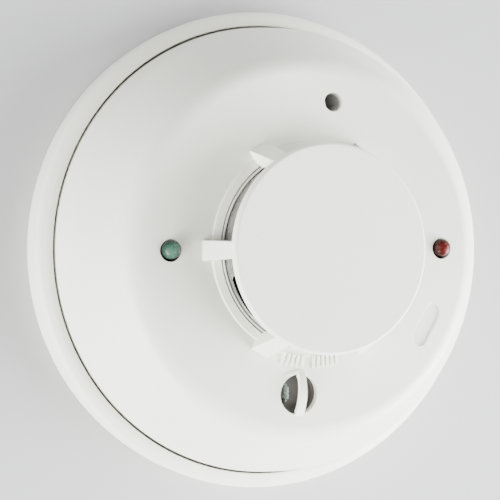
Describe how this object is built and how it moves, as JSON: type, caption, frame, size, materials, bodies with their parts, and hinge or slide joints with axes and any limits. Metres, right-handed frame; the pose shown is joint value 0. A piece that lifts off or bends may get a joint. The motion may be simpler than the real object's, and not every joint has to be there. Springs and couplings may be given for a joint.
{
  "type": "heat and smoke detector",
  "caption": "Round ceiling detector: a twist-lock head with a raised, screened smoke chamber, a thermistor window and two lamps, on a terminal base.",
  "frame": {"origin": "centre of the mounting base's back face, the face that lies on the ceiling", "axes": "+Z out of the detector's face, towards the room; the green lamp is on -X, the red lamp on +X"},
  "size_m": [0.1346, 0.1346, 0.051],
  "materials": {
    "housing": "off-white moulded ABS, fine satin texture",
    "inner_plastic": "off-white moulded plastic, matt",
    "contact_brass": "bright pressed brass",
    "plated_steel": "zinc plated",
    "board": "green solder mask on glass-epoxy",
    "black_plastic": "black, matt",
    "dark_plastic": "grey-brown, matt",
    "grey_plastic": "mid grey, satin",
    "screen_mesh": "fine woven wire",
    "green_lens": "clear tinted green",
    "red_lens": "clear tinted red",
    "tube_glass": "clear, faintly green",
    "dark_bead": "dark epoxy",
    "blue_coat": "blue epoxy coat"
  },
  "bodies": {
    "base": {"mounting_base": "housing", "terminal_clip_1": "contact_brass", "terminal_clip_2": "contact_brass", "terminal_clip_3": "contact_brass", "terminal_clip_4": "contact_brass", "terminal_clip_5": "contact_brass", "terminal_clip_6": "contact_brass", "clamp_washer_1": "plated_steel", "clamp_washer_2": "plated_steel", "clamp_washer_3": "plated_steel", "clamp_washer_4": "plated_steel", "clamp_washer_5": "plated_steel", "clamp_washer_6": "plated_steel", "terminal_screw_1": "plated_steel", "terminal_screw_2": "plated_steel", "terminal_screw_3": "plated_steel", "terminal_screw_4": "plated_steel", "terminal_screw_5": "plated_steel", "terminal_screw_6": "plated_steel"},
    "head": {"head_chassis": "inner_plastic", "circuit_board": "board", "chamber_base": "black_plastic", "chamber_labyrinth": "black_plastic", "insect_screen": "screen_mesh", "screen_frame": "inner_plastic", "thermistor_shroud": "dark_plastic", "plunger_guide": "inner_plastic", "green_lamp": "green_lens", "red_lamp": "red_lens", "green_lamp_spacer": "inner_plastic", "red_lamp_spacer": "inner_plastic", "contact_blade_1": "contact_brass", "contact_blade_2": "contact_brass", "contact_blade_3": "contact_brass", "contact_blade_4": "contact_brass", "contact_blade_5": "contact_brass", "contact_blade_6": "contact_brass", "board_screw_1": "plated_steel", "board_screw_2": "plated_steel", "board_screw_3": "plated_steel", "infrared_emitter": "blue_coat", "photodiode": "dark_bead", "thermistor": "tube_glass", "test_switch": "black_plastic", "microcontroller": "black_plastic", "bridge_rectifier": "black_plastic", "amplifier_shield": "plated_steel", "filter_capacitor_1": "black_plastic", "filter_capacitor_2": "black_plastic", "surge_suppressor": "blue_coat", "reed_switch": "tube_glass"},
    "cover": {"cover": "housing"},
    "test_plunger": {"test_plunger": "grey_plastic"}
  },
  "joints": [
    {"name": "head_twist", "type": "hinge", "parent": "base", "child": "head", "pos_m": [0, 0, 0], "axis": [0, 0, 1], "range_deg": [0, 18]},
    {"name": "cover_lift", "type": "slide", "parent": "head", "child": "cover", "axis": [0, 0, 1], "range_m": [0, 0.04]},
    {"name": "test_press", "type": "slide", "parent": "head", "child": "test_plunger", "axis": [0, 0, -1], "range_m": [0, 0.0008], "stiffness_N_per_m": 300, "springref_m": -0.0005}
  ]
}
